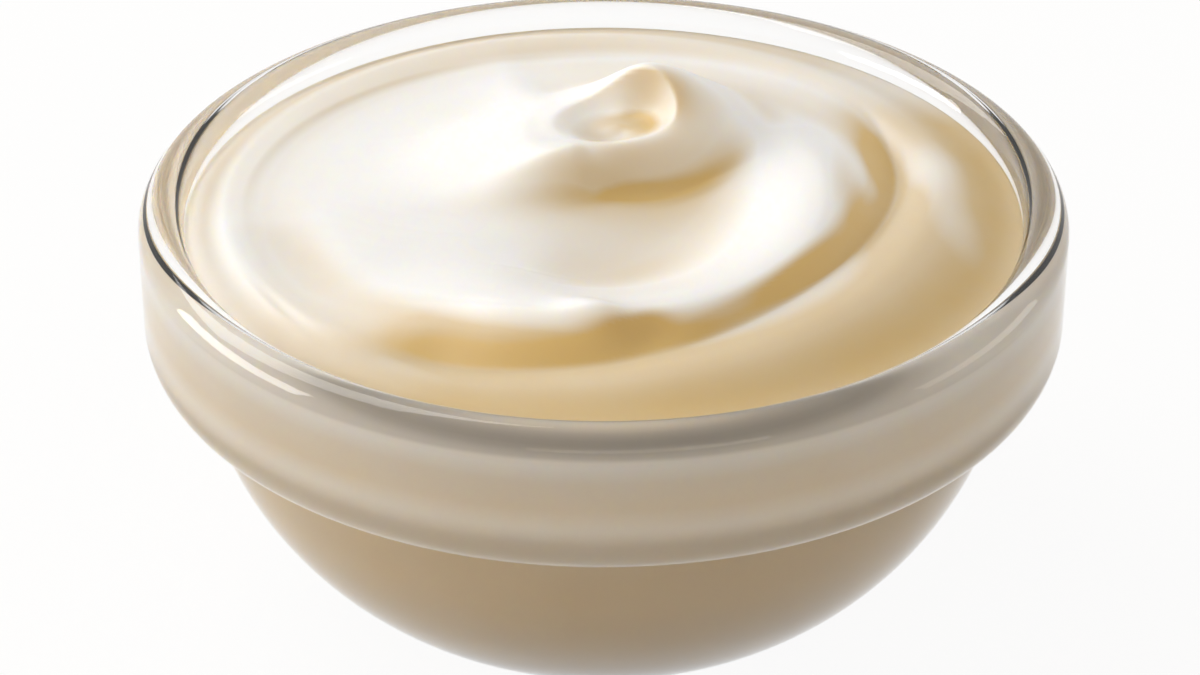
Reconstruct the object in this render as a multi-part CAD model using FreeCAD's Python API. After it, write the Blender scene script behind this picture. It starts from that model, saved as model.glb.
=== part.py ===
import FreeCAD, Part
import math
import os

os.makedirs("parts", exist_ok=True)

# A small clear stacking bowl of pressed glass, filled with mayonnaise that a spoon has
# swirled into a ridge, a fold and a curled peak. Millimetres, +Z up. The origin is on the
# axis of the bowl in the plane that it stands on, and -Y is the side that the swirl faces.

# Glass: rim and collar
rim_diameter = 75.0
total_height = 34.0
lip_thickness = 3.7          # the lip is a full round of this width
collar_height = 12.9         # from the top of the lip down to the stacking ledge
collar_corner = 3.4          # rounding of the collar's lower edge
stack_clearance = 0.3        # the step below the ledge enters the mouth of the next bowl
ledge_fillet = 0.6

# Glass: body and foot
body_arc = 29.1              # outer wall from the ledge down to the foot, one arc
foot_diameter = 40.4
foot_land = 3.2              # width of the ring that the bowl stands on
foot_recess = 0.9            # depth of the shallow dome inside the ring
foot_fillet = 1.2
floor_diameter = 27.0        # flat part of the floor inside
floor_thickness = 3.8
floor_fillet = 10.0          # between the flat floor and the inner wall, upright at the lip

# Swirl: heights count from the top of the lip, angles in degrees from +X towards +Y
contact_depth = 2.05         # where the mayonnaise meets the glass
edge_widths = (3.0, 5.5, -35.0)   # strip where the surface turns down, more added, its angle
patch_rows = 61              # control points along each side of the swirled surface
patch_margin = 1.5           # how far the surface runs past the inner wall
peak_margin = 1.0            # room over the peak in the shape that trims the surface

# Inner ridge, round the basin that the spoon left, straight along the front left
ridge_centre = (-0.6, -1.2)
ridge_radius = 18.2
ridge_bulge = (1.3, -80.0, 8.0)      # extra radius, the angle where it is most, sharpness
ridge_turn = -112.0                  # where the ridge leaves its circle and runs straight
ridge_turn_blend = 6.0
ridge_top = 1.0
ridge_round = 1.3
ridge_slopes = (0.36, 0.95, -45.0, 4.0)   # least, most, the angle of the most, sharpness
ridge_sink = (1.4, 6.0, 22.0)        # how far the straight part sinks, from where, over what
ridge_fade = (128.0, 4.0, 16.0)      # direction, start and length of the fade into the flank
basin_bottom = -3.0
basin_reach = 8.0
basin_shoal = (0.6, 2.0, 16.0)       # share of its depth lost to the left, start and length
flank = (-1.0, 0.03)                 # level and fall towards the back left

# Tail, the crest that runs down from the peak to the left
tail_start = (-15.0, 0.0)
tail_direction = 17.0
tail_low = -2.0
tail_rise = 4.2
tail_reach = 15.0
tail_slopes = (0.25, 1.25, 0.22)     # front at the left end, front at the peak, back
tail_round = 1.0
tail_drop = (6.0, 12.5, 10.0)        # how far it drops past the peak, from where, over what
tail_blend = 1.2

# Curled peak, round a hollow that opens to the left
hollow_centre = (1.5, 8.5)
hollow_radius = 3.4
hollow_longer = ((1.1, 20.0, 3.0), (2.4, -165.0, 4.0))   # more radius, its angle, sharpness
hollow_floor = 1.6
hollow_streak = (0.6, -125.0, 3.0)   # groove inside the hollow, its angle, sharpness
hollow_shape = (2.2, 0.6, -90.0)     # how square the hollow is, more at the front
curl_low = 2.0
curl_rise = (3.05, 60.0, 4.0)        # added at the top of the peak, its angle, sharpness
curl_round = (0.7, 2.2, 10.0, 2.0)   # rounding of the lip, more added on the right
peak_slope = 0.16
peak_steeper = ((0.95, -75.0, 6.0), (0.45, 20.0, 1.5), (0.30, 105.0, 2.0))
foot_blend = 1.0
foot_blend_reach = 3.0

# Outer fold, a flat arc across the right front, and a low roll along the rest of the glass
fold_centre = (-11.9, 12.5)
fold_radius = 37.6
roll_radius = 26.6
roll_wider = (2.6, 170.0, 3.0)         # more radius at the left, its angle, sharpness
roll_fade = (0.35, 165.0, 6.0)       # part of the rise taken off at the left
fold_join = 1.6
crease_level = -1.8
crease_drop = (0.9, -100.0, 6.0)     # how much lower it lies at the front
crease_lift = (0.1, 165.0, 4.0)      # how much higher it lies at the left
crease_blend = 0.3
crease_softer = (0.6, 160.0, 2.5)    # more blend at the left, its angle, sharpness
fold_rise = 2.0
fold_share = (0.45, -45.0, 1.5)      # part of the rise that is left opposite this angle
fold_width = 1.6
fold_crown = 3.0
fold_fall = 0.012
fold_lip_slope = 0.9

# Dents and a tongue: centre, half widths across and along, direction, depth
pit = ((3.4, -22.4), (1.6, 2.6), 25.0, 0.6)
tongue = ((-0.6, -20.9), (1.3, 3.0), -25.0, -0.7)
dip = ((-24.5, -8.5), (3.0, 7.0), 110.0, 0.5)

rim_radius = rim_diameter / 2
mouth_radius = rim_radius - lip_thickness
lip_centre_z = total_height - lip_thickness / 2
ledge_z = total_height - collar_height
ledge_radius = mouth_radius - stack_clearance
corner_radius = min(collar_corner, rim_radius - ledge_radius - ledge_fillet)
foot_radius = foot_diameter / 2


def point(radius, height):
    return FreeCAD.Vector(radius, 0, height)


def arc_by_centre(start, end, centre):
    """The shorter arc from start to end about centre."""
    middle = (start - centre).normalize() + (end - centre).normalize()
    return Part.Arc(start, centre + middle.normalize() * start.distanceToPoint(centre), end)


def centre_by_radius(start, end, radius):
    """Centre of the arc from start down to end that bulges away from the axis."""
    half = (end - start) * 0.5
    inward = FreeCAD.Vector(half.z, 0, -half.x).normalize()
    return start + half + inward * math.sqrt(radius**2 - half.Length**2)


def straight(start, end):
    return Part.LineSegment(start, end)


def revolved(curves):
    wire = Part.Wire([curve.toShape() for curve in curves])
    return Part.Face(wire).revolve(FreeCAD.Vector(), FreeCAD.Vector(0, 0, 1), 360)


def cavity_curves():
    """Inner surface of the bowl, from the axis on the floor up to the round of the lip."""
    floor_end = point(floor_diameter / 2, floor_thickness)
    fillet_centre = point(floor_end.x, floor_thickness + floor_fillet)
    across = mouth_radius - fillet_centre.x
    up = lip_centre_z - fillet_centre.z
    wall_arc = (across**2 + up**2 - floor_fillet**2) / (2 * (across - floor_fillet))
    wall_centre = point(mouth_radius - wall_arc, lip_centre_z)
    towards = (fillet_centre - wall_centre).normalize()
    wall_start = wall_centre + towards * wall_arc
    wall_end = point(mouth_radius, lip_centre_z)
    return [
        straight(point(0, floor_thickness), floor_end),
        arc_by_centre(floor_end, wall_start, fillet_centre),
        arc_by_centre(wall_start, wall_end, wall_centre),
    ]


def circle_edges(shape, radius, height):
    """The round edges of this radius at this height."""
    return [
        edge
        for edge in shape.Edges
        if not edge.Degenerated
        and isinstance(edge.Curve, Part.Circle)
        and abs(edge.Curve.Radius - radius) < 0.01
        and abs(edge.Curve.Center.z - height) < 0.01
    ]


def glass_bowl():
    lip_inner = point(mouth_radius, lip_centre_z)
    lip_top = point(rim_radius - lip_thickness / 2, total_height)
    lip_outer = point(rim_radius, lip_centre_z)
    corner_centre = point(rim_radius - corner_radius, ledge_z + corner_radius)
    corner_top = point(rim_radius, corner_centre.z)
    corner_end = point(corner_centre.x, ledge_z)
    step = point(ledge_radius, ledge_z)
    foot_outer = point(foot_radius, 0)
    foot_inner = point(foot_radius - foot_land, 0)
    recess_top = point(0, foot_recess)
    dome_radius = (foot_inner.x**2 + foot_recess**2) / (2 * foot_recess)
    body_centre = centre_by_radius(step, foot_outer, body_arc)
    curves = cavity_curves() + [
        Part.Arc(lip_inner, lip_top, lip_outer),
        straight(lip_outer, corner_top),
        arc_by_centre(corner_top, corner_end, corner_centre),
        straight(corner_end, step),
        arc_by_centre(step, foot_outer, body_centre),
        straight(foot_outer, foot_inner),
        arc_by_centre(foot_inner, recess_top, point(0, foot_recess - dome_radius)),
        straight(recess_top, point(0, floor_thickness)),
    ]
    bowl = revolved(curves)
    bowl = bowl.makeFillet(ledge_fillet, circle_edges(bowl, ledge_radius, ledge_z))
    return bowl.makeFillet(foot_fillet, circle_edges(bowl, foot_radius, 0))


def eased(share):
    """0 below 0, 1 above 1, and a smooth step between."""
    share = min(max(share, 0.0), 1.0)
    return share * share * (3 - 2 * share)


def lobe(angle, middle, sharpness):
    """1 at the middle angle, 0 opposite it, narrower as sharpness grows."""
    return (0.5 + 0.5 * math.cos(angle - math.radians(middle))) ** sharpness


def rounded(distance, radius):
    """The absolute value of a distance, with its point rounded off."""
    return math.hypot(distance, radius) - radius


def higher(first, second, blend):
    """The higher of two surfaces, run together where they meet."""
    return 0.5 * (first + second + math.hypot(first - second, blend))


def turned(x, y, centre, direction):
    """Distances from a centre along a direction and to the right of it."""
    dx = x - centre[0]
    dy = y - centre[1]
    cosine = math.cos(math.radians(direction))
    sine = math.sin(math.radians(direction))
    return dx * cosine + dy * sine, dx * sine - dy * cosine


def dent(x, y, centre, half_widths, direction, depth):
    """A shallow dent, longer along its direction."""
    along, across = turned(x, y, centre, direction)
    across_share = across / half_widths[0]
    along_share = along / half_widths[1]
    return depth * math.exp(-(across_share**2) - along_share**2)


def ridge_height(x, y):
    """Basin, inner ridge and its outer slope, which fade into a flank at the back left."""
    dx = x - ridge_centre[0]
    dy = y - ridge_centre[1]
    angle = math.atan2(dy, dx)
    bulge, bulge_angle, bulge_sharpness = ridge_bulge
    radius = ridge_radius + bulge * lobe(angle, bulge_angle, bulge_sharpness)
    outward, leftward = turned(x, y, ridge_centre, ridge_turn)
    turn_lobe = lobe(math.radians(ridge_turn), bulge_angle, bulge_sharpness)
    straight_share = eased(leftward / ridge_turn_blend)
    past_circle = math.hypot(dx, dy) - radius
    past_straight = outward - ridge_radius - bulge * turn_lobe
    past = past_circle * (1 - straight_share) + past_straight * straight_share
    if past < 0:
        shoal, shoal_start, shoal_reach = basin_shoal
        near = math.exp(-((past / basin_reach) ** 2))
        bottom = basin_bottom * (1 - shoal * eased((-x - shoal_start) / shoal_reach))
        relief = ridge_top * near + bottom * (1 - near)
    else:
        gentle, steep, steep_angle, sharpness = ridge_slopes
        slope = gentle + (steep - gentle) * lobe(angle, steep_angle, sharpness)
        relief = ridge_top - slope * rounded(past, ridge_round)
    sink, sink_start, sink_reach = ridge_sink
    relief -= sink * eased((leftward - sink_start) / sink_reach)
    direction, start, reach = ridge_fade
    along, _ = turned(x, y, (0, 0), direction)
    kept = eased((start - along) / reach)
    level, fall = flank
    return relief * kept + (level - fall * along) * (1 - kept)


def tail_height(x, y):
    """The crest that runs down from the peak to the left, steep at its front."""
    along, front = turned(x, y, tail_start, tail_direction)
    share = eased(along / tail_reach)
    drop, drop_start, drop_reach = tail_drop
    crest = tail_low + tail_rise * share - drop * eased((along - drop_start) / drop_reach)
    gentle, steep, back = tail_slopes
    slope = gentle + (steep - gentle) * share if front > 0 else back
    return crest - slope * rounded(front, tail_round)


def with_peak(x, y, around):
    """Adds the curled peak to the height around it, and takes out the hollow it curls round."""
    dx = x - hollow_centre[0]
    dy = y - hollow_centre[1]
    distance = math.hypot(dx, dy)
    angle = math.atan2(dy, dx)
    edge = hollow_radius
    for longer, at, narrow in hollow_longer:
        edge += longer * lobe(angle, at, narrow)
    rise, rise_angle, rise_sharpness = curl_rise
    crest = curl_low + rise * lobe(angle, rise_angle, rise_sharpness)
    share = min(distance / edge, 1.0)
    square, squarer, square_angle = hollow_shape
    power = square + squarer * lobe(angle, square_angle, 1)
    hollow = (crest - hollow_floor) * (1 - share**power)
    streak, streak_angle, streak_sharpness = hollow_streak
    hollow += streak * lobe(angle, streak_angle, streak_sharpness) * math.sin(math.pi * share) ** 2
    slope = peak_slope
    for steeper, at, narrow in peak_steeper:
        slope += steeper * lobe(angle, at, narrow)
    round_least, round_more, round_angle, round_sharpness = curl_round
    shoulder = round_least + round_more * lobe(angle, round_angle, round_sharpness)
    peak = crest - slope * rounded(max(distance - edge, 0), shoulder)
    blend = foot_blend * eased((distance - edge) / foot_blend_reach)
    return higher(around, peak, blend) - hollow


def fold_height(x, y):
    """The last stroke of the spoon, which laps over the ridge, and the roll by the glass."""
    angle = math.atan2(y, x)
    past_fold = math.hypot(x - fold_centre[0], y - fold_centre[1]) - fold_radius
    wider, wide_angle, wide_sharpness = roll_wider
    past_roll = math.hypot(x, y) - roll_radius - wider * lobe(angle, wide_angle, wide_sharpness)
    past = higher(past_fold, past_roll, fold_join)
    drop, drop_angle, drop_sharpness = crease_drop
    lift, lift_angle, lift_sharpness = crease_lift
    level = crease_level - drop * lobe(angle, drop_angle, drop_sharpness)
    level += lift * lobe(angle, lift_angle, lift_sharpness)
    if past < 0:
        return level + fold_lip_slope * past
    least, whole_angle, sharpness = fold_share
    fade, fade_angle, fade_sharpness = roll_fade
    share = least + (1 - least) * lobe(angle, whole_angle, sharpness)
    share -= fade * lobe(angle, fade_angle, fade_sharpness)
    rise = fold_rise * share * (1 - math.exp(-past / fold_width))
    return level + rise - fold_fall * max(past - fold_crown, 0) ** 2


def swirl_height(x, y):
    """Height of the mayonnaise over the top of the lip."""
    around = higher(ridge_height(x, y), tail_height(x, y), tail_blend)
    inner = with_peak(x, y, around) - dent(x, y, *pit) - dent(x, y, *tongue)
    angle = math.atan2(y, x)
    softer, soft_angle, sharpness = crease_softer
    blend = crease_blend + softer * lobe(angle, soft_angle, sharpness)
    surface = higher(inner, fold_height(x, y), blend) - dent(x, y, *dip)
    narrow, wider, wide_angle = edge_widths
    edge_width = narrow + wider * lobe(angle, wide_angle, 1)
    inside = eased((mouth_radius - math.hypot(x, y)) / edge_width)
    return surface * inside - contact_depth * (1 - inside)


def clamped_knots(count, degree):
    inner = count - degree - 1
    values = [index / (inner + 1) for index in range(inner + 2)]
    return values, [degree + 1] + [1] * inner + [degree + 1]


def swirl_surface(half_side):
    """A smooth surface shaped by a square net of control points."""
    steps = [half_side * (2 * index / (patch_rows - 1) - 1) for index in range(patch_rows)]
    net = [
        [FreeCAD.Vector(x, y, total_height + swirl_height(x, y)) for y in steps]
        for x in steps
    ]
    degree = 3
    knots, repeats = clamped_knots(patch_rows, degree)
    surface = Part.BSplineSurface()
    surface.buildFromPolesMultsKnots(
        net, repeats, repeats, knots, knots, False, False, degree, degree
    )
    return surface.toShape()


def block_under(top, half_side):
    """Closed solid from the plane z = 0 up to the surface, whose border is level."""
    border = total_height - contact_depth
    corners = [(-1, -1), (1, -1), (1, 1), (-1, 1), (-1, -1)]
    low = [FreeCAD.Vector(sx * half_side, sy * half_side, 0) for sx, sy in corners]
    high = [corner + FreeCAD.Vector(0, 0, border) for corner in low]
    faces = [top, Part.Face(Part.makePolygon(low))]
    for side in range(4):
        ring = [low[side], low[side + 1], high[side + 1], high[side], low[side]]
        faces.append(Part.Face(Part.makePolygon(ring)))
    shell = Part.makeShell(faces)
    shell.sewShape()
    solid = Part.makeSolid(Part.Shell(shell.Faces))
    return solid if solid.Volume > 0 else solid.reversed()


def mayonnaise():
    """Everything inside the cavity and under the swirled surface."""
    headroom = total_height + curl_low + curl_rise[0] + peak_margin
    cavity = revolved(
        cavity_curves()
        + [
            straight(point(mouth_radius, lip_centre_z), point(mouth_radius, headroom)),
            straight(point(mouth_radius, headroom), point(0, headroom)),
            straight(point(0, headroom), point(0, floor_thickness)),
        ]
    )
    half_side = mouth_radius + patch_margin
    return cavity.common(block_under(swirl_surface(half_side), half_side))


def export(name, shape):
    solid = shape.Solids[0]
    print(name, "valid", solid.isValid(), "solids", len(shape.Solids), "volume", round(solid.Volume))
    solid.exportStep("parts/" + name + ".step")


export("glass_bowl", glass_bowl())
export("mayonnaise", mayonnaise())
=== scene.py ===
import math

import bpy
import numpy as np
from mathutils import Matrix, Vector


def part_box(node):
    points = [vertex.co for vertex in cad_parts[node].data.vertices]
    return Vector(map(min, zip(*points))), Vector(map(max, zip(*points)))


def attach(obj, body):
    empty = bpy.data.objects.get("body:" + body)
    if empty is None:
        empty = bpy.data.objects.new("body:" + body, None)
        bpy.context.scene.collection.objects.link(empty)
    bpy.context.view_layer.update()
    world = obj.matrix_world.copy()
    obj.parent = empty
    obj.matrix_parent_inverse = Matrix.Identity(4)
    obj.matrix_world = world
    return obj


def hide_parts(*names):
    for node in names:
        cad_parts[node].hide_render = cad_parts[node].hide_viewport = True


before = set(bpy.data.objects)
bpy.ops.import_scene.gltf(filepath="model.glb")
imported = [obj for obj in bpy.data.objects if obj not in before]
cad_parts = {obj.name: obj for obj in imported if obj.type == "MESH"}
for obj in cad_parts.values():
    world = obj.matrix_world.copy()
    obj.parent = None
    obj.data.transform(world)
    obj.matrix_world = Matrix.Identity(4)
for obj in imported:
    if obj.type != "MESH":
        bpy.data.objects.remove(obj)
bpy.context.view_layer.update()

bl_info = {
    "name": "Bowl of Mayonnaise",
    "version": (1, 0, 0),
    "blender": (4, 5, 0),
    "location": "View3D > Sidebar > Mayonnaise",
    "description": "A clear glass bowl of swirled mayonnaise on a plain pale floor",
    "category": "Object",
}

MM = 0.001
_, GLASS_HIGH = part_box("glass_bowl")
FILL_LOW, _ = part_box("mayonnaise")
RIM_RADIUS = GLASS_HIGH.x / MM
RIM_Z = GLASS_HIGH.z / MM
CAVITY_FLOOR_Z = FILL_LOW.z / MM


# ---------------------------------------------------------------- sizes and colours


def length(name, description, default):
    """A size in millimetres."""
    return bpy.props.FloatProperty(name=name, description=description, default=default)


def colour(name, description, default):
    return bpy.props.FloatVectorProperty(
        name=name,
        description=description,
        default=default,
        size=3,
        min=0.0,
        max=1.0,
        subtype="COLOR",
    )


def share(name, description, default):
    return bpy.props.FloatProperty(
        name=name, description=description, default=default, subtype="FACTOR"
    )


def power(name, description, default):
    return bpy.props.FloatProperty(
        name=name, description=description, default=default, unit="POWER"
    )


class GlassSettings(bpy.types.PropertyGroup):
    """The clear pressed glass."""

    tint: colour("Tint", "Colour of the glass", (1.0, 1.0, 1.0))
    roughness: share("Roughness", "Roughness of the glass surface", 0.04)
    refraction: bpy.props.FloatProperty(
        name="Refraction", description="Index of refraction of the glass", default=1.45
    )
    wave_depth: length("Wave depth", "Depth of the faint waves that pressing leaves, in mm", 0.02)


class CavitySettings(bpy.types.PropertyGroup):
    """The inner surface of the bowl, which the mayonnaise fills, in mm."""

    lip_width: length("Lip width", "Width of the rounded lip", 3.7)
    floor_diameter: length("Floor diameter", "Width of the flat floor inside the bowl", 27.0)
    floor_fillet: length("Floor fillet", "Radius between the inner wall and the floor", 10.0)
    wall_overlap: length("Wall overlap", "How far the mayonnaise reaches into the glass", 0.15)
    contact_depth: length("Contact depth", "Where the mayonnaise meets the glass", 2.05)


class OutsideSettings(bpy.types.PropertyGroup):
    """The outer surface of the bowl, in mm."""

    collar_height: length("Collar height", "From the top of the lip to the ledge", 12.9)
    collar_corner: length("Collar corner", "Rounding of the collar's lower edge", 3.4)
    stack_clearance: length("Stack clearance", "Between the step and the next bowl's mouth", 0.3)
    ledge_fillet: length("Ledge fillet", "Radius under the ledge", 0.6)
    body_arc: length("Body arc", "Radius of the body's outline", 29.1)
    foot_diameter: length("Foot diameter", "Width of the foot", 40.4)
    foot_fillet: length("Foot fillet", "Radius at the edge of the foot", 1.2)
    foot_land: length("Foot land", "Width of the ring that the bowl stands on", 3.2)
    foot_recess: length("Foot recess", "Depth of the dome inside the ring", 0.9)


class SwirlSettings(bpy.types.PropertyGroup):
    """The spoon's swirl, in mm over the top of the lip."""

    ridge_radius: length("Ridge radius", "Radius of the inner ridge", 18.2)
    ridge_top: length("Ridge top", "Height of the inner ridge", 1.0)
    basin_bottom: length("Basin bottom", "Height of the basin that the spoon left", -3.0)
    peak_rise: length("Peak rise", "Height of the curled peak over its low lip", 3.05)
    fold_radius: length("Fold radius", "Radius of the outer fold", 37.6)
    crease_level: length("Crease level", "Height of the crease under the fold", -1.8)
    fold_rise: length("Fold rise", "Height of the fold over its crease", 2.0)


class MayonnaiseColours(bpy.types.PropertyGroup):
    """Colours of the mayonnaise."""

    white: colour("White", "Colour of the crests", (0.95, 0.95, 0.945))
    # Painted shade: the mayonnaise itself is white, and this colour and the next two are painted
    # shade for hollows, the shade of folds, and creases.
    painted_cream_shade: colour("Cream", "Colour of the hollows", (0.83, 0.765, 0.665))
    tan: colour("Tan", "Colour in the shade of a fold", (0.71, 0.545, 0.29))
    painted_crease_shade: colour("Deep", "Colour in the creases", (0.70, 0.485, 0.165))
    # Painted shade: a dark line on the wall just under the lip, and darker towards the foot.
    shaded: colour("Shaded", "Colour of the edge under the lip", (0.20, 0.165, 0.11))
    roughness: share("Roughness", "Roughness of the moist surface", 0.34)


class StageSettings(bpy.types.PropertyGroup):
    """The floor, the lamps and the camera."""

    floor_colour: colour("Floor colour", "Colour of the floor", (0.86, 0.82, 0.75))
    key_power: power("Key power", "Power of the large lamp at the back left", 2.5)
    left_power: power("Left power", "Power of the low lamp at the left", 3.0)
    right_power: power("Right power", "Power of the low lamp at the right", 0.65)
    front_power: power("Front power", "Power of the low lamp in front", 0.5)
    fill_level: bpy.props.FloatProperty(
        name="Fill level", description="Brightness of the surrounding light", default=0.42
    )
    fill_colour: colour("Fill colour", "Colour of the surrounding light", (1.0, 0.935, 0.84))
    camera_distance: length("Camera distance", "From the camera to the middle of the rim", 300.0)
    camera_elevation: bpy.props.FloatProperty(
        name="Camera elevation",
        description="Angle of the camera over the rim",
        default=math.radians(28.53),
        subtype="ANGLE",
    )
    focal_length: length("Focal length", "Focal length of the camera's lens", 111.4)


# ---------------------------------------------------------------- shader maths


class Amount:
    """A number that varies over a surface. Arithmetic on it adds Math nodes."""

    def __init__(self, recipe, socket):
        self.recipe = recipe
        self.socket = socket

    def maths(self, operation, *terms):
        values = {index: term for index, term in enumerate(terms)}
        node = self.recipe.node("ShaderNodeMath", {"operation": operation}, values)
        return Amount(self.recipe, node.outputs[0])

    def __add__(self, other):
        return self.maths("ADD", self, other)

    __radd__ = __add__

    def __mul__(self, other):
        return self.maths("MULTIPLY", self, other)

    __rmul__ = __mul__

    def __sub__(self, other):
        return self.maths("SUBTRACT", self, other)

    def __rsub__(self, other):
        return self.maths("SUBTRACT", other, self)

    def at_most(self, other):
        return self.maths("MINIMUM", self, other)

    def at_least(self, other):
        return self.maths("MAXIMUM", self, other)


class Recipe:
    """A material's or the world's node tree, built up node by node."""

    def __init__(self, owner):
        owner.use_nodes = True
        self.tree = owner.node_tree
        self.tree.nodes.clear()

    def node(self, kind, settings=None, values=None):
        """A node of this type; its settings are set first, then its sockets' values or links."""
        node = self.tree.nodes.new(kind)
        for name, value in (settings or {}).items():
            if name == "stops":
                self.set_stops(node.color_ramp, value)
            else:
                setattr(node, name, value)
        for name, value in (values or {}).items():
            socket = node.inputs[name]
            if isinstance(value, Amount):
                value = value.socket
            if isinstance(value, bpy.types.NodeSocket):
                self.tree.links.new(value, socket)
            elif isinstance(value, bpy.types.Node):
                self.tree.links.new(value.outputs[0], socket)
            else:
                socket.default_value = value
        return node

    @staticmethod
    def set_stops(ramp, stops):
        while len(ramp.elements) < len(stops):
            ramp.elements.new(1.0)
        for element, (position, value) in zip(ramp.elements, stops):
            element.position = position
            element.color = value

    def amount(self, node, output=0):
        return Amount(self, node.outputs[output])

    def place(self):
        """Object coordinates, in metres."""
        return self.node("ShaderNodeTexCoord").outputs["Object"]

    def noise(self, scale, detail):
        """Noise round 0.5 at so many waves a metre, with so many finer levels."""
        values = {"Vector": self.place(), "Scale": scale, "Detail": detail, "Roughness": 0.5}
        return self.amount(self.node("ShaderNodeTexNoise", None, values))

    def attribute(self, name):
        """A number that is stored on the piece's own points."""
        node = self.node("ShaderNodeAttribute", {"attribute_name": name})
        return self.amount(node, "Fac")

    def blend(self, factor, first, second):
        """From the first colour to the second."""
        node = self.node(
            "ShaderNodeMix",
            {"data_type": "RGBA"},
            {"Factor": factor, "A": first, "B": second},
        )
        return node.outputs["Result"]

    def relief(self, height, distance):
        """A bump this deep, in metres, where the height goes from 0 to 1."""
        values = {"Height": height, "Distance": distance, "Strength": 1.0}
        return self.node("ShaderNodeBump", None, values).outputs["Normal"]

    def finish(self, shader, output="ShaderNodeOutputMaterial"):
        self.node(output, None, {"Surface": shader})


def rgba(colour_value):
    return (*colour_value, 1.0)


def new_material(name):
    material = bpy.data.materials.new(name)
    return material, Recipe(material)


# Noises on the glass and the mayonnaise: waves a metre, and finer levels.
GLASS_WAVES = (60.0, 1.0)
GLASS_SMEARS = (25.0, 3.0)
MOTTLE = (140.0, 3.0)
FINE_STREAKS = (420.0, 4.0)

SMEAR_SHARES = (0.4, 1.2)        # of the roughness: everywhere, and more in the smears
MOTTLE_TINT = 0.10               # how far the mottle moves the tint from crest to crease
MOTTLE_ROUGHNESS = 0.12
STREAK_DEPTH = 0.03              # in mm
# Stops of the painted shade, from the white crests to the darkest painted shade in the creases.
TONE_STOPS = (0.0, 0.45, 0.85, 1.0)      # of white, cream, tan and deep
MAYONNAISE_REFRACTION = 1.45
SCATTER_DISTANCE = 1.0           # how far light travels in the mayonnaise, in mm
SCATTER_SHARES = (1.0, 0.85, 0.50)       # of that distance for red, green and blue


def clear_glass(settings):
    material, recipe = new_material("clear_glass")
    waves = recipe.noise(*GLASS_WAVES)
    smears = recipe.noise(*GLASS_SMEARS)
    everywhere, smeared = SMEAR_SHARES
    roughness = settings.roughness * (everywhere + smeared * smears)
    recipe.finish(
        recipe.node(
            "ShaderNodeBsdfPrincipled",
            None,
            {
                "Base Color": rgba(settings.tint),
                "Roughness": roughness,
                "IOR": settings.refraction,
                "Transmission Weight": 1.0,
                "Normal": recipe.relief(waves, settings.wave_depth * MM),
            },
        )
    )
    return material


def mayonnaise_finish(colours):
    material, recipe = new_material("mayonnaise")
    # depth is the amount of painted shade and painted light stored on the points; the shade
    # attribute below blends in a painted shadow.
    depth = recipe.attribute("depth")
    mottle = recipe.noise(*MOTTLE)
    streaks = recipe.noise(*FINE_STREAKS)
    depth = (depth + MOTTLE_TINT * (mottle - 0.5)).at_least(0.0).at_most(1.0)
    tones = [rgba(tone) for tone in (colours.white, colours.painted_cream_shade, colours.tan, colours.painted_crease_shade)]
    stops = list(zip(TONE_STOPS, tones))
    tone = recipe.node("ShaderNodeValToRGB", {"stops": stops}, {"Fac": depth}).outputs["Color"]
    tone = recipe.blend(recipe.attribute("shade"), tone, rgba(colours.shaded))
    roughness = colours.roughness + MOTTLE_ROUGHNESS * (mottle - 0.5)
    recipe.finish(
        recipe.node(
            "ShaderNodeBsdfPrincipled",
            {"subsurface_method": "RANDOM_WALK"},
            {
                "Base Color": tone,
                "Roughness": roughness,
                "IOR": MAYONNAISE_REFRACTION,
                "Subsurface Weight": 1.0,
                "Subsurface Radius": SCATTER_SHARES,
                "Subsurface Scale": SCATTER_DISTANCE * MM,
                "Normal": recipe.relief(streaks, STREAK_DEPTH * MM),
            },
        )
    )
    return material


# ---------------------------------------------------------------- the swirl


# Lengths and places are in mm from the middle of the rim, heights in mm over the top of the lip,
# and angles in degrees from +X towards +Y. A lobe is written as the angle where it is most, and its
# sharpness. A dent is its centre, its half widths across and along, its direction, and its depth.

# The basin, the inner ridge round it and the flank behind them.
RIDGE_CENTRE = (-0.6, -1.2)
RIDGE_BULGE = (1.3, -80.0, 8.0)          # extra radius, and its lobe
RIDGE_TURN = -112.0                      # where the ridge leaves its circle and runs straight
RIDGE_TURN_BLEND = 6.0
RIDGE_ROUND = 1.3                        # how round the ridge's top is
RIDGE_SLOPES = (0.36, 0.95, -45.0, 4.0)  # least, most, and the lobe of the most
RIDGE_SINK = (1.4, 6.0, 22.0)            # how far the straight part sinks, from where, over what
RIDGE_FADE = (128.0, 4.0, 16.0)          # direction, start and length of the fade into the flank
BASIN_REACH = 8.0                        # how far the ridge's slope reaches into the basin
BASIN_SHOAL = (0.6, 2.0, 16.0)           # how much of its depth it loses, from where, over what
FLANK = (-1.0, 0.03)                     # level, and fall towards the back left

# The tail, a crest that runs up from the left to the peak.
TAIL_START = (-15.0, 0.0)
TAIL_DIRECTION = 17.0
TAIL_LOW = -2.0
TAIL_RISE = 4.2
TAIL_REACH = 15.0                        # the length that it rises over
TAIL_SLOPES = (0.25, 1.25, 0.22)         # front at the left end, front at the peak, back
TAIL_ROUND = 1.0
TAIL_DROP = (6.0, 12.5, 10.0)            # how far it falls past the peak, from where, over what
TAIL_BLEND = 1.2

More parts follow.
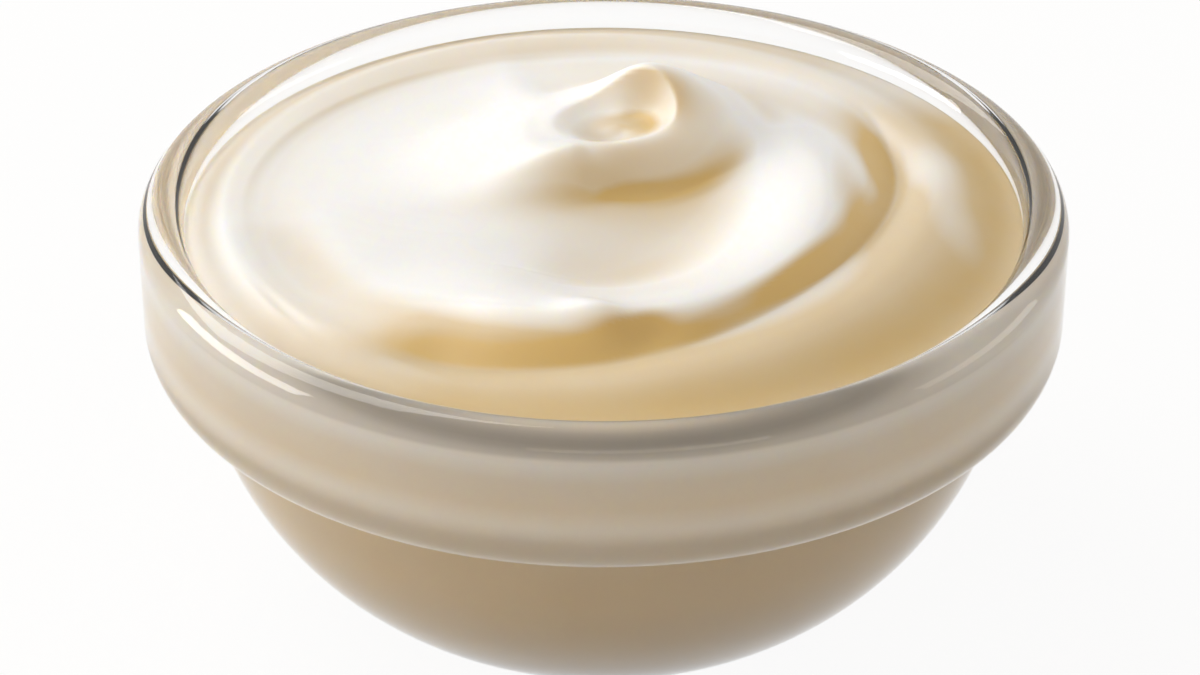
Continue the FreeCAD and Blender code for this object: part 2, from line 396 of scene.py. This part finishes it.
# The curled peak and the hollow that it curls round.
HOLLOW_CENTRE = (1.5, 8.5)
HOLLOW_RADIUS = 3.4
HOLLOW_LONGER = ((1.1, 20.0, 3.0), (2.4, -165.0, 4.0))   # extra radius, and its lobe
HOLLOW_FLOOR = 1.6
HOLLOW_SIDES = (2.2, 0.6, -90.0, 1.0)    # how steep they are, how much more, and where
HOLLOW_STREAK = (0.6, -125.0, 3.0)       # depth of the streak down its side, and its lobe
CURL_LOW = 2.0                           # height of the curl opposite its top
CURL_TOP = (60.0, 4.0)
CURL_ROUND = 0.7                         # how round its outer edge is
CURL_SHOULDER = (2.2, 10.0, 2.0)         # how much rounder, and where
PEAK_SLOPE = 0.16
PEAK_STEEPER = ((0.95, -75.0, 6.0), (0.45, 20.0, 1.5), (0.30, 105.0, 2.0))
FOOT_BLEND = 1.0                         # how softly the peak runs out into what is round it
FOOT_BLEND_REACH = 3.0

# The outer fold, the roll by the glass, and the crease under both.
FOLD_CENTRE = (-11.9, 12.5)
ROLL_RADIUS = 26.6
ROLL_WIDER = (2.6, 170.0, 3.0)           # extra radius, and its lobe
FOLD_JOIN = 1.6                          # how softly the fold runs into the roll
FOLD_WIDTH = 1.6                         # from the crease to most of the fold's rise
FOLD_SHARE = (0.45, -45.0, 1.5)          # least share of the rise, and the lobe of the whole
FOLD_CROWN = 3.0                         # from the crease to where the fold starts to fall
FOLD_FALL = 0.012
FOLD_LIP_SLOPE = 0.9
CREASE_DROP = (0.9, -100.0, 6.0)         # how much deeper it is, and its lobe
CREASE_LIFT = (0.1, 165.0, 4.0)
ROLL_FADE = (0.35, 165.0, 6.0)           # share of the rise that is lost, and its lobe
CREASE_BLEND = 0.3                       # how soft the crease is
CREASE_SOFTER = (0.6, 160.0, 2.5)
EDGE_WIDTHS = (3.0, 5.5, -35.0, 1.0)     # of the run down to the glass: least, more, its lobe

# Dents.
PIT = ((3.4, -22.4), (1.6, 2.6), 25.0, 0.6)
TONGUE = ((-0.6, -20.9), (1.3, 3.0), -25.0, -0.7)
DIP = ((-24.5, -8.5), (3.0, 7.0), 110.0, 0.5)


def eased(part):
    """0 below 0, 1 above 1, and a smooth step between."""
    part = np.clip(part, 0.0, 1.0)
    return part * part * (3 - 2 * part)


def lobe(angle, middle, sharpness):
    """1 at the middle angle, 0 opposite it, narrower as sharpness grows."""
    return (0.5 + 0.5 * np.cos(angle - math.radians(middle))) ** sharpness


def rounded(distance, radius):
    """The absolute value of a distance, with its point rounded off."""
    return np.hypot(distance, radius) - radius


def higher(first, second, blend):
    """The higher of two surfaces, run together where they meet."""
    return 0.5 * (first + second + np.hypot(first - second, blend))


def turned(x, y, centre, direction):
    """Distances from a centre along a direction and to the right of it."""
    dx, dy = x - centre[0], y - centre[1]
    cosine, sine = math.cos(math.radians(direction)), math.sin(math.radians(direction))
    return dx * cosine + dy * sine, dx * sine - dy * cosine


def dent(x, y, centre, radii, direction, depth):
    """A shallow round dent, longer along its direction."""
    along, across = turned(x, y, centre, direction)
    return depth * np.exp(-((across / radii[0]) ** 2) - (along / radii[1]) ** 2)


def ridge_height(x, y, swirl):
    """Basin, inner ridge and its outer slope, which fade into a flank at the back left."""
    dx, dy = x - RIDGE_CENTRE[0], y - RIDGE_CENTRE[1]
    angle = np.arctan2(dy, dx)
    bulge, bulge_angle, bulge_sharpness = RIDGE_BULGE
    radius = swirl.ridge_radius + bulge * lobe(angle, bulge_angle, bulge_sharpness)
    outward, leftward = turned(x, y, RIDGE_CENTRE, RIDGE_TURN)
    turn_lobe = lobe(math.radians(RIDGE_TURN), bulge_angle, bulge_sharpness)
    turn_radius = swirl.ridge_radius + bulge * turn_lobe
    straight = eased(leftward / RIDGE_TURN_BLEND)
    past = (np.hypot(dx, dy) - radius) * (1 - straight) + (outward - turn_radius) * straight
    near = np.exp(-((past / BASIN_REACH) ** 2))
    shoal, shoal_start, shoal_reach = BASIN_SHOAL
    bottom = swirl.basin_bottom * (1 - shoal * eased((-x - shoal_start) / shoal_reach))
    basin = swirl.ridge_top * near + bottom * (1 - near)
    gentle, steep, steep_angle, steep_sharpness = RIDGE_SLOPES
    slope = gentle + (steep - gentle) * lobe(angle, steep_angle, steep_sharpness)
    outer = swirl.ridge_top - slope * rounded(past, RIDGE_ROUND)
    sink, sink_start, sink_reach = RIDGE_SINK
    relief = np.where(past < 0, basin, outer) - sink * eased((leftward - sink_start) / sink_reach)
    direction, start, reach = RIDGE_FADE
    along, _ = turned(x, y, (0, 0), direction)
    kept = eased((start - along) / reach)
    level, fall = FLANK
    return relief * kept + (level - fall * along) * (1 - kept)


def tail_height(x, y):
    """The crest that runs down from the peak to the left, steep at its front."""
    along, front = turned(x, y, TAIL_START, TAIL_DIRECTION)
    share = eased(along / TAIL_REACH)
    drop, drop_start, drop_reach = TAIL_DROP
    crest = TAIL_LOW + TAIL_RISE * share - drop * eased((along - drop_start) / drop_reach)
    gentle, steep, back = TAIL_SLOPES
    slope = np.where(front > 0, gentle + (steep - gentle) * share, back)
    return crest - slope * rounded(front, TAIL_ROUND)


def with_peak(x, y, around, swirl):
    """Adds the curled peak to the height around it, and takes out the hollow it curls round."""
    dx, dy = x - HOLLOW_CENTRE[0], y - HOLLOW_CENTRE[1]
    reach, angle = np.hypot(dx, dy), np.arctan2(dy, dx)
    edge = HOLLOW_RADIUS + sum(more * lobe(angle, at, sharp) for more, at, sharp in HOLLOW_LONGER)
    crest = CURL_LOW + swirl.peak_rise * lobe(angle, *CURL_TOP)
    share = np.clip(reach / edge, 0, 1)
    steep, steeper, steep_angle, steep_sharpness = HOLLOW_SIDES
    sides = steep + steeper * lobe(angle, steep_angle, steep_sharpness)
    hollow = (crest - HOLLOW_FLOOR) * (1 - share**sides)
    streak, streak_angle, sharpness = HOLLOW_STREAK
    hollow += streak * lobe(angle, streak_angle, sharpness) * np.sin(math.pi * share) ** 2
    slope = PEAK_SLOPE + sum(rise * lobe(angle, at, sharp) for rise, at, sharp in PEAK_STEEPER)
    rounder, round_angle, round_sharpness = CURL_SHOULDER
    shoulder = CURL_ROUND + rounder * lobe(angle, round_angle, round_sharpness)
    peak = crest - slope * rounded(np.maximum(reach - edge, 0), shoulder)
    blend = FOOT_BLEND * eased((reach - edge) / FOOT_BLEND_REACH)
    return higher(around, peak, blend) - hollow


def fold_height(x, y, swirl):
    """The last stroke of the spoon, which laps over the ridge, and the roll by the glass."""
    angle = np.arctan2(y, x)
    past_fold = np.hypot(x - FOLD_CENTRE[0], y - FOLD_CENTRE[1]) - swirl.fold_radius
    wider, wide_angle, wide_sharpness = ROLL_WIDER
    roll_radius = ROLL_RADIUS + wider * lobe(angle, wide_angle, wide_sharpness)
    past = higher(past_fold, np.hypot(x, y) - roll_radius, FOLD_JOIN)
    drop, drop_angle, drop_sharpness = CREASE_DROP
    lift, lift_angle, lift_sharpness = CREASE_LIFT
    level = swirl.crease_level - drop * lobe(angle, drop_angle, drop_sharpness)
    level += lift * lobe(angle, lift_angle, lift_sharpness)
    least, most_angle, most_sharpness = FOLD_SHARE
    fade, fade_angle, fade_sharpness = ROLL_FADE
    share = least + (1 - least) * lobe(angle, most_angle, most_sharpness)
    share -= fade * lobe(angle, fade_angle, fade_sharpness)
    rise = swirl.fold_rise * share * (1 - np.exp(-np.maximum(past, 0) / FOLD_WIDTH))
    fall = FOLD_FALL * np.maximum(past - FOLD_CROWN, 0) ** 2
    return np.where(past < 0, level + FOLD_LIP_SLOPE * past, level + rise - fall)


def swirl_height(x, y, swirl, mouth_radius, middle_depth):
    """Height of the mayonnaise over the top of the lip, in mm."""
    around = higher(ridge_height(x, y, swirl), tail_height(x, y), TAIL_BLEND)
    inner = with_peak(x, y, around, swirl) - dent(x, y, *PIT) - dent(x, y, *TONGUE)
    angle = np.arctan2(y, x)
    softer, soft_angle, sharpness = CREASE_SOFTER
    blend = CREASE_BLEND + softer * lobe(angle, soft_angle, sharpness)
    surface = higher(inner, fold_height(x, y, swirl), blend) - dent(x, y, *DIP)
    narrow, wider, wide_angle, wide_sharpness = EDGE_WIDTHS
    width = narrow + wider * lobe(angle, wide_angle, wide_sharpness)
    inside = eased((mouth_radius - np.hypot(x, y)) / width)
    return surface * inside - middle_depth * (1 - inside)


# ---------------------------------------------------------------- painted shade and light


# Units are those of the swirl. The tint is painted shade: an amount of 0 on white crests and 1 in
# the deepest creases, darker in creases, in hollows and on slopes that fall away from the key lamp.
# A negative amount is painted light.
CREASE_REACH = 2.4       # how far round a point its surroundings are felt, for narrow creases
HOLLOW_REACH = 7.0       # the same for broad hollows
# Painted shade in a crease is moved onto the slope over it.
CREASE_SHIFT = 1.2       # a crease's colour lies this far inside it, on the slope over it
CREST_LIMIT = -0.06      # how far a crest may lighten what lies on it
CREASE_LIMIT = 0.45      # how deep a crease may count
HOLLOW_START = 0.30      # how deep a hollow is before it counts
AROUND_COUNT = 16
SLOPE_STEP = 0.3
# Painted shade on the slopes that face away from the key lamp.
LEE_DIRECTION = -42.0    # the way that the slopes in shade fall
# How much painted shade creases, hollows and slopes in the lee get.
DEPTH_GAINS = (0.95, 0.35, 0.85)   # depth per mm of crease and of hollow, and on an upright slope
MOST_WITHOUT_CREASE = 0.80         # the most depth that all but the creases give
# Painted highlight: a lighter band along the ridge's top.
PAINTED_CREST_HIGHLIGHT = (0.45, 15.0, 2.0, 2.5)     # on the ridge's top: amount, lobe and half width
# Painted shade: darker bands by the glass, most at the front right and the front.
PAINTED_SHADE_RINGS = (                # bands by the glass: amount, lobe, start and length of the way outwards
    (0.66, -68.0, 4.0, 21.5, 4.0),
    (0.85, 2.0, 8.0, 21.0, 2.5),
    (0.36, -117.0, 4.0, 21.0, 4.0),
    (0.45, 95.0, 2.0, 26.0, 2.5),
    (0.08, 180.0, 0.5, 31.3, 1.5),
)
# Painted shade where the amount is positive and painted light where it is negative, at places over
# the swirl.
PAINTED_SPOTS = (                # soft places, written as dents with an amount for their depth
    ((3.0, -22.4), (1.6, 3.0), 25.0, 0.40),
    ((0.5, 8.2), (1.0, 3.0), 80.0, 0.10),
    ((4.7, 9.2), (3.5, 3.0), 0.0, 0.60),
    ((-1.0, 1.0), (4.0, 7.0), 20.0, 0.30),
    ((13.0, 8.5), (3.0, 3.0), 0.0, -0.30),
    ((-6.0, -25.0), (3.0, 6.0), -15.0, 0.45),
    ((-12.5, -21.5), (2.5, 5.0), -30.0, 0.22),
    ((19.5, 0.0), (1.8, 7.0), 95.0, 0.50),
    ((16.0, -12.5), (1.8, 7.0), 50.0, 0.50),
    ((28.5, -5.5), (3.0, 7.0), 90.0, -0.75),
    ((24.0, 21.0), (4.0, 7.0), -40.0, -0.40),
    ((27.5, 5.0), (3.5, 5.5), 95.0, -0.60),
    ((22.5, 2.0), (1.5, 4.0), 95.0, -0.60),
    ((24.6, -1.0), (1.5, 4.5), 95.0, 0.30),
    ((9.6, -19.6), (1.5, 4.0), 35.0, -0.15),
    ((-29.5, -8.5), (3.0, 8.0), -75.0, -0.25),
)

# On the wall, at so many mm under the top of the lip: the painted shade of the body seen through
# the glass, and the share of the shaded colour, a painted dark line under the lip and painted shade
# towards the foot.
WALL_PAINTED_SHADE = (
    (2.0, 0.35),
    (4.1, 0.25),
    (5.5, 0.50),
    (8.0, 0.60),
    (10.0, 0.45),
    (14.0, 0.75),
    (30.0, 0.9),
)
WALL_PAINTED_SHADOW = (
    (2.35, 0.0),
    (2.6, 0.45),
    (2.85, 0.65),
    (3.05, 0.65),
    (3.3, 0.3),
    (3.6, 0.0),
    (20.0, 0.0),
    (30.0, 0.25),
)


def below_around(x, y, reach, *surface):
    """How far a point lies below the surface round it."""
    around = np.zeros_like(x)
    for turn in np.linspace(0, 2 * math.pi, AROUND_COUNT, endpoint=False):
        beside_x, beside_y = x + reach * math.cos(turn), y + reach * math.sin(turn)
        around += swirl_height(beside_x, beside_y, *surface) / AROUND_COUNT
    return around - swirl_height(x, y, *surface)


def fall_towards(x, y, direction, *surface):
    """How much a slope faces this way: 0 where it doesn't, 1 for an upright face."""
    turn = math.radians(direction)
    dx, dy = SLOPE_STEP * math.cos(turn), SLOPE_STEP * math.sin(turn)
    slope = swirl_height(x - dx, y - dy, *surface) - swirl_height(x + dx, y + dy, *surface)
    slope = np.maximum(slope / (2 * SLOPE_STEP), 0)
    return slope / np.sqrt(1 + slope**2)


def painted_shade_and_light(x, y, *surface):
    """Painted shade, 0 on white crests and 1 in the deepest creases, with painted light on the
    ridge's top and at some spots.
    """
    reach, angle = np.hypot(x, y), np.arctan2(y, x)
    outward = 1 + CREASE_SHIFT / np.maximum(reach, CREASE_SHIFT)
    # Painted shade in creases and hollows, and on slopes that face away from the light.
    crease = below_around(x * outward, y * outward, CREASE_REACH, *surface)
    crease = np.clip(crease, CREST_LIMIT, CREASE_LIMIT)
    hollow = np.maximum(below_around(x, y, HOLLOW_REACH, *surface) - HOLLOW_START, 0)
    lee = fall_towards(x, y, LEE_DIRECTION, *surface)
    for_crease, for_hollow, for_lee = DEPTH_GAINS
    depth = for_hollow * hollow + for_lee * lee
    # Painted shade in bands by the glass.
    for amount, middle, sharpness, start, width in PAINTED_SHADE_RINGS:
        depth += amount * lobe(angle, middle, sharpness) * eased((reach - start) / width)
    # Painted highlight on the ridge's top.
    white, middle, sharpness, width = PAINTED_CREST_HIGHLIGHT
    past = np.hypot(x - RIDGE_CENTRE[0], y - RIDGE_CENTRE[1]) - surface[0].ridge_radius
    depth -= white * lobe(angle, middle, sharpness) * np.exp(-((past / width) ** 2))
    # Painted shade and painted light at spots.
    for place, radii, direction, amount in PAINTED_SPOTS:
        depth += dent(x, y, place, radii, direction, amount)
    depth = np.minimum(depth, MOST_WITHOUT_CREASE) + for_crease * crease
    return np.clip(depth, 0, 1)


# ---------------------------------------------------------------- pieces


# How many points each stretch of a section has.
FILLET_POINTS = 24
WALL_POINTS = 60
LIP_POINTS = 49
COLLAR_POINTS = 9
CORNER_POINTS = 31
LEDGE_POINTS = 13
BODY_POINTS = 50
FOOT_POINTS = 15
LAND_POINTS = 5
RECESS_POINTS = 24

# How finely the two pieces are divided: round the axis, over the swirl and down the wall.
SEGMENTS = 288
TOP_RINGS = 150
WALL_RINGS = 90


def arc_points(centre, radius, start, end, count):
    """Points of a section's arc, its angles in degrees from the way out towards up."""
    angles = np.radians(np.linspace(start, end, count))
    return np.stack([centre[0] + radius * np.cos(angles), centre[1] + radius * np.sin(angles)], 1)


def wall_line(cavity, grow):
    """The inner wall in section, from the middle of the floor up to the round of the lip."""
    lip_centre_z = RIM_Z - cavity.lip_width / 2
    mouth_radius = RIM_RADIUS - cavity.lip_width
    floor_radius = cavity.floor_diameter / 2
    fillet = cavity.floor_fillet
    across = mouth_radius - floor_radius
    up = lip_centre_z - CAVITY_FLOOR_Z - fillet
    wall = (across**2 + up**2 - fillet**2) / (2 * (across - fillet))
    turn = math.atan2(up, floor_radius - mouth_radius + wall)
    angles = np.linspace(math.pi / 2, turn, FILLET_POINTS)
    fillet_x = floor_radius + (fillet + grow) * np.cos(angles)
    fillet_z = CAVITY_FLOOR_Z + fillet - (fillet + grow) * np.sin(angles)
    angles = np.linspace(turn, 0, WALL_POINTS)[1:]
    wall_x = mouth_radius - wall + (wall + grow) * np.cos(angles)
    wall_z = lip_centre_z - (wall + grow) * np.sin(angles)
    line_x = np.concatenate([[0], fillet_x, wall_x])
    line_z = np.concatenate([[CAVITY_FLOOR_Z - grow], fillet_z, wall_z])
    return line_x, line_z


def glass_line(cavity, outside):
    """The glass in section, from the middle of the floor over the lip to the middle of the foot."""
    lip = cavity.lip_width / 2
    inner_x, inner_z = wall_line(cavity, 0.0)
    corner = outside.collar_corner
    ledge_z = RIM_Z - outside.collar_height
    step = Vector((RIM_RADIUS - cavity.lip_width - outside.stack_clearance, ledge_z))
    foot = Vector((outside.foot_diameter / 2, 0.0))
    half = (foot - step) / 2
    inward = Vector((half.y, -half.x)).normalized()
    body = step + half + inward * math.sqrt(outside.body_arc**2 - half.length**2)
    ledge_fillet, foot_fillet = outside.ledge_fillet, outside.foot_fillet
    ledge_reach = outside.body_arc + ledge_fillet
    foot_reach = outside.body_arc - foot_fillet
    ledge_turn = math.degrees(math.asin((ledge_z - ledge_fillet - body.y) / ledge_reach))
    foot_turn = math.degrees(math.asin((foot_fillet - body.y) / foot_reach))
    ledge_x = body.x + ledge_reach * math.cos(math.radians(ledge_turn))
    foot_x = body.x + foot_reach * math.cos(math.radians(foot_turn))
    land = outside.foot_diameter / 2 - outside.foot_land
    recess_x = np.linspace(land, 0, RECESS_POINTS)
    recess_z = outside.foot_recess * (1 - (recess_x / land) ** 2)
    lip_centre = (RIM_RADIUS - lip, RIM_Z - lip)
    collar_top, collar_low = (RIM_RADIUS, RIM_Z - lip), (RIM_RADIUS, ledge_z + corner)
    corner_centre = (RIM_RADIUS - corner, ledge_z + corner)
    ledge_centre = (ledge_x, ledge_z - ledge_fillet)
    foot_centre = (foot_x, foot_fillet)
    return np.concatenate(
        [
            np.stack([inner_x, inner_z], 1)[:-1],
            arc_points(lip_centre, lip, 180, 0, LIP_POINTS),
            np.linspace(collar_top, collar_low, COLLAR_POINTS)[1:-1],
            arc_points(corner_centre, corner, 0, -90, CORNER_POINTS),
            arc_points(ledge_centre, ledge_fillet, 90, 180 + ledge_turn, LEDGE_POINTS),
            arc_points(body, outside.body_arc, ledge_turn, foot_turn, BODY_POINTS)[1:],
            arc_points(foot_centre, foot_fillet, foot_turn, -90, FOOT_POINTS)[1:],
            np.linspace((foot_x, 0), (land, 0), LAND_POINTS)[1:-1],
            np.stack([recess_x, recess_z], 1),
        ]
    )


def laid_sphere(name, rings):
    """A sphere of this many rings to lay along a section, with each point's ring and angle."""
    bpy.ops.object.select_all(action="DESELECT")
    bpy.ops.mesh.primitive_uv_sphere_add(segments=SEGMENTS, ring_count=rings, radius=1.0)
    piece = bpy.context.object
    piece.name = piece.data.name = name
    points = np.zeros(len(piece.data.vertices) * 3)
    piece.data.vertices.foreach_get("co", points)
    points = points.reshape(-1, 3)
    ring = np.rint(np.arccos(np.clip(points[:, 2], -1, 1)) / math.pi * rings)
    return piece, ring, np.arctan2(points[:, 1], points[:, 0])


def lay(piece, x, y, z):
    """Puts the points of a piece at these places, in mm, and shades it smooth."""
    piece.data.vertices.foreach_set("co", (np.stack([x, y, z], 1) * MM).ravel())
    piece.data.update()
    bpy.ops.object.shade_smooth()


def store_on_points(piece, name, values):
    """Stores a number for each point of a piece, for its material to read."""
    store = piece.data.attributes.new(name, "FLOAT", "POINT")
    store.data.foreach_set("value", values.astype(np.float32))


def glass_piece(cavity, outside):
    line = glass_line(cavity, outside)
    piece, ring, angle = laid_sphere("glass_bowl_pressed", len(line) - 1)
    radius, height = line[ring.astype(int)].T
    lay(piece, radius * np.cos(angle), radius * np.sin(angle), height)
    return piece


SPOON_MARKS = (          # written as dents, each with the spacing of its grooves
    ((-15.0, -5.5), (3.5, 8.0), -20.0, 0.024, 1.7),
    ((-7.0, -11.5), (1.6, 7.0), -14.0, 0.022, 1.5),
    ((-13.0, 12.0), (5.0, 12.0), 5.0, 0.018, 2.4),
    ((-25.5, -16.5), (1.7, 4.5), -60.0, 0.040, 1.9),
    ((-9.0, -19.5), (2.5, 8.0), -18.0, 0.018, 1.8),
    ((12.0, -20.5), (1.5, 8.0), 38.0, 0.014, 1.5),
    ((9.0, 3.0), (2.5, 5.0), 30.0, 0.020, 1.6),
)
MARK_BEND = 0.01         # how much the grooves bend along their length
MARK_FINER = (0.6, 1.6, 0.3)     # finer grooves among them: depth, number and how much they drift


def spoon_marks(x, y):
    """Fine grooves that a spoon leaves along its strokes."""
    marks = np.zeros_like(x)
    share, more, drift = MARK_FINER
    for centre, radii, direction, depth, spacing in SPOON_MARKS:
        along, across = turned(x, y, centre, direction)
        turns = 2 * math.pi * (across + MARK_BEND * along**2) / spacing
        wave = np.sin(turns) + share * np.sin(more * turns + drift * along)
        marks += wave * dent(x, y, centre, radii, direction, depth)
    return marks


def mayonnaise_piece(cavity, swirl):
    """A sphere of fine rings, its lower half laid along the wall and its upper half swirled."""
    piece, ring, angle = laid_sphere("mayonnaise_swirled", TOP_RINGS + WALL_RINGS)
    surface = (swirl, RIM_RADIUS - cavity.lip_width, cavity.contact_depth)
    line_x, line_z = wall_line(cavity, cavity.wall_overlap)
    run = np.concatenate([[0], np.cumsum(np.hypot(np.diff(line_x), np.diff(line_z)))])
    edge_run = np.interp(RIM_Z - cavity.contact_depth, line_z[1:], run[1:])
    top = ring <= TOP_RINGS
    radius = np.interp(edge_run, run, line_x) * ring / TOP_RINGS
    x, y = radius * np.cos(angle), radius * np.sin(angle)
    height = swirl_height(x, y, *surface) + spoon_marks(x, y)
    low_run = edge_run * (1 - ((ring - TOP_RINGS) / WALL_RINGS) ** 2)
    low_radius = np.interp(low_run, run, line_x)
    x = np.where(top, x, low_radius * np.cos(angle))
    y = np.where(top, y, low_radius * np.sin(angle))
    z = np.where(top, RIM_Z + height, np.interp(low_run, run, line_z))
    lay(piece, x, y, z)
    # Painted shade on the wall by height, and the shaded colour: a painted dark line under the lip
    # and painted shade towards the foot.
    tone = np.interp(RIM_Z - z, *np.array(WALL_PAINTED_SHADE).T)
    shade = np.interp(RIM_Z - z, *np.array(WALL_PAINTED_SHADOW).T)
    # The points carry painted shade and light: over the swirl from its shape, and on the wall by
    # height.
    store_on_points(piece, "depth", np.where(top, painted_shade_and_light(x, y, *surface), tone))
    store_on_points(piece, "shade", np.where(top, 0, shade))
    return piece


# ---------------------------------------------------------------- operators


def add_piece(piece, material, node):
    """Gives a piece its material and puts it in the frame, in place of this node."""
    piece.data.materials.append(material)
    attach(piece, "root")
    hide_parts(node)


class ModelGlass(bpy.types.Operator):
    """Model the clear glass bowl"""

    bl_idname = "mayonnaise_bowl.model_glass"
    bl_label = "Model glass bowl"

    def execute(self, context):
        scene = context.scene
        piece = glass_piece(scene.bowl_cavity, scene.bowl_outside)
        add_piece(piece, clear_glass(scene.bowl_glass), "glass_bowl")
        return {"FINISHED"}


class ModelMayonnaise(bpy.types.Operator):
    """Model the mayonnaise with its swirl"""

    bl_idname = "mayonnaise_bowl.model_mayonnaise"
    bl_label = "Model mayonnaise"

    def execute(self, context):
        scene = context.scene
        piece = mayonnaise_piece(scene.bowl_cavity, scene.bowl_swirl)
        finish = mayonnaise_finish(scene.mayonnaise_colours)
        add_piece(piece, finish, "mayonnaise")
        return {"FINISHED"}


FLOOR_WIDTH = 6.0        # in metres
FLOOR_SEEN = 0.94        # share of plain white in how the floor looks; the rest is its own light
LAMPS = {                # size in metres; distance in metres, azimuth, elevation; tint
    "key": ((0.45, 0.45), (0.70, 138, 52), (1.0, 1.0, 1.0)),
    "left": ((0.50, 0.25), (0.65, 178, 12), (1.0, 0.98, 0.95)),
    "right": ((0.50, 0.20), (0.65, 6, 10), (1.0, 0.95, 0.88)),
    "front": ((0.60, 0.15), (0.60, -80, 6), (1.0, 0.90, 0.78)),
}
CAMERA_AZIMUTH = -90
CAMERA_TARGET = (-0.29, 0, 20.1)         # in mm
SENSOR_WIDTH = 36.0      # in mm
NEAREST_SEEN = 0.01      # in metres


def aimed(obj, target):
    """Turns a lamp or the camera towards a point."""
    obj.rotation_euler = (Vector(target) - obj.location).to_track_quat("-Z", "Y").to_euler()


def around_rim(distance, azimuth, elevation):
    """A place this far from the middle of the rim; azimuth goes from +X towards +Y, in degrees."""
    turn, rise = math.radians(azimuth), math.radians(elevation)
    level = distance * math.cos(rise)
    offset = (level * math.cos(turn), level * math.sin(turn), distance * math.sin(rise))
    return Vector((0, 0, GLASS_HIGH.z)) + Vector(offset)


class SetStage(bpy.types.Operator):
    """Set the floor, the lamps, the surroundings and the camera"""

    bl_idname = "mayonnaise_bowl.set_stage"
    bl_label = "Set stage"

    def execute(self, context):
        scene = context.scene
        stage = scene.bowl_stage
        self.floor(stage)
        self.lamps(stage)
        self.surroundings(scene, stage)
        self.camera(scene, stage)
        scene.view_settings.view_transform = "Standard"
        return {"FINISHED"}

    def seen_directly(self, recipe):
        """1 for what the camera, a mirror or the glass shows, 0 for what lights a matt surface."""
        path = recipe.node("ShaderNodeLightPath")
        rays = ("Is Camera Ray", "Is Glossy Ray", "Is Transmission Ray")
        seen = [recipe.amount(path, name) for name in rays]
        matt_turns = recipe.amount(path, "Diffuse Depth").at_most(1.0)
        return (seen[0] + seen[1] + seen[2]).at_most(1.0) * (1 - matt_turns)

    def floor(self, stage):
        bpy.ops.object.select_all(action="DESELECT")
        bpy.ops.mesh.primitive_plane_add(size=FLOOR_WIDTH, location=(0, 0, 0))
        floor = bpy.context.object
        floor.name = "floor"
        material, recipe = new_material("pale_floor")
        matt = recipe.node("ShaderNodeBsdfDiffuse", None, {"Color": rgba(stage.floor_colour)})
        lit = recipe.node("ShaderNodeEmission", None, {"Color": (1, 1, 1, 1), "Strength": 1.0})
        factor = self.seen_directly(recipe) * FLOOR_SEEN
        recipe.finish(recipe.node("ShaderNodeMixShader", None, {0: factor, 1: matt, 2: lit}))
        floor.data.materials.append(material)

    def lamps(self, stage):
        for name, facts in LAMPS.items():
            self.lamp(name, getattr(stage, f"{name}_power"), *facts)

    def lamp(self, name, power, size, place, tint):
        """A soft lamp at this distance, azimuth and elevation, aimed at the middle of the rim."""
        light = bpy.data.lights.new(name, "AREA")
        light.shape = "RECTANGLE"
        light.size, light.size_y = size
        light.energy = power
        light.color = tint
        lamp = bpy.data.objects.new(name, light)
        bpy.context.scene.collection.objects.link(lamp)
        lamp.location = around_rim(*place)
        aimed(lamp, (0, 0, GLASS_HIGH.z))

    def surroundings(self, scene, stage):
        world = bpy.data.worlds.new("pale_room")
        scene.world = world
        recipe = Recipe(world)
        seen = self.seen_directly(recipe)
        level = stage.fill_level + (1.0 - stage.fill_level) * seen
        tint = recipe.blend(seen, rgba(stage.fill_colour), (1, 1, 1, 1))
        back = recipe.node("ShaderNodeBackground", None, {"Color": tint, "Strength": level})
        recipe.finish(back, "ShaderNodeOutputWorld")

    def camera(self, scene, stage):
        data = bpy.data.cameras.new("camera")
        data.sensor_width = SENSOR_WIDTH
        data.lens = stage.focal_length
        data.clip_start = NEAREST_SEEN
        camera = bpy.data.objects.new("camera", data)
        scene.collection.objects.link(camera)
        elevation = math.degrees(stage.camera_elevation)
        camera.location = around_rim(stage.camera_distance * MM, CAMERA_AZIMUTH, elevation)
        aimed(camera, [place * MM for place in CAMERA_TARGET])
        scene.camera = camera


class BowlPanel(bpy.types.Panel):
    """The bowl's pieces and sizes"""

    bl_label = "Bowl of Mayonnaise"
    bl_idname = "VIEW3D_PT_mayonnaise_bowl"
    bl_space_type = "VIEW_3D"
    bl_region_type = "UI"
    bl_category = "Mayonnaise"

    def draw(self, context):
        for operator in OPERATORS:
            self.layout.operator(operator.bl_idname)
        for name, group in GROUPS.items():
            box = self.layout.box()
            for setting in group.__annotations__:
                box.prop(getattr(context.scene, name), setting)


GROUPS = {
    "bowl_glass": GlassSettings,
    "bowl_cavity": CavitySettings,
    "bowl_outside": OutsideSettings,
    "bowl_swirl": SwirlSettings,
    "mayonnaise_colours": MayonnaiseColours,
    "bowl_stage": StageSettings,
}
OPERATORS = (ModelGlass, ModelMayonnaise, SetStage)


def register():
    for group in (*GROUPS.values(), *OPERATORS, BowlPanel):
        bpy.utils.register_class(group)
    for name, group in GROUPS.items():
        setattr(bpy.types.Scene, name, bpy.props.PointerProperty(type=group))


def unregister():
    for name in GROUPS:
        delattr(bpy.types.Scene, name)
    for group in reversed((*GROUPS.values(), *OPERATORS, BowlPanel)):
        bpy.utils.unregister_class(group)


def main():
    register()
    bpy.ops.mayonnaise_bowl.model_glass()
    bpy.ops.mayonnaise_bowl.model_mayonnaise()
    bpy.ops.mayonnaise_bowl.set_stage()


if __name__ == "__main__":
    main()
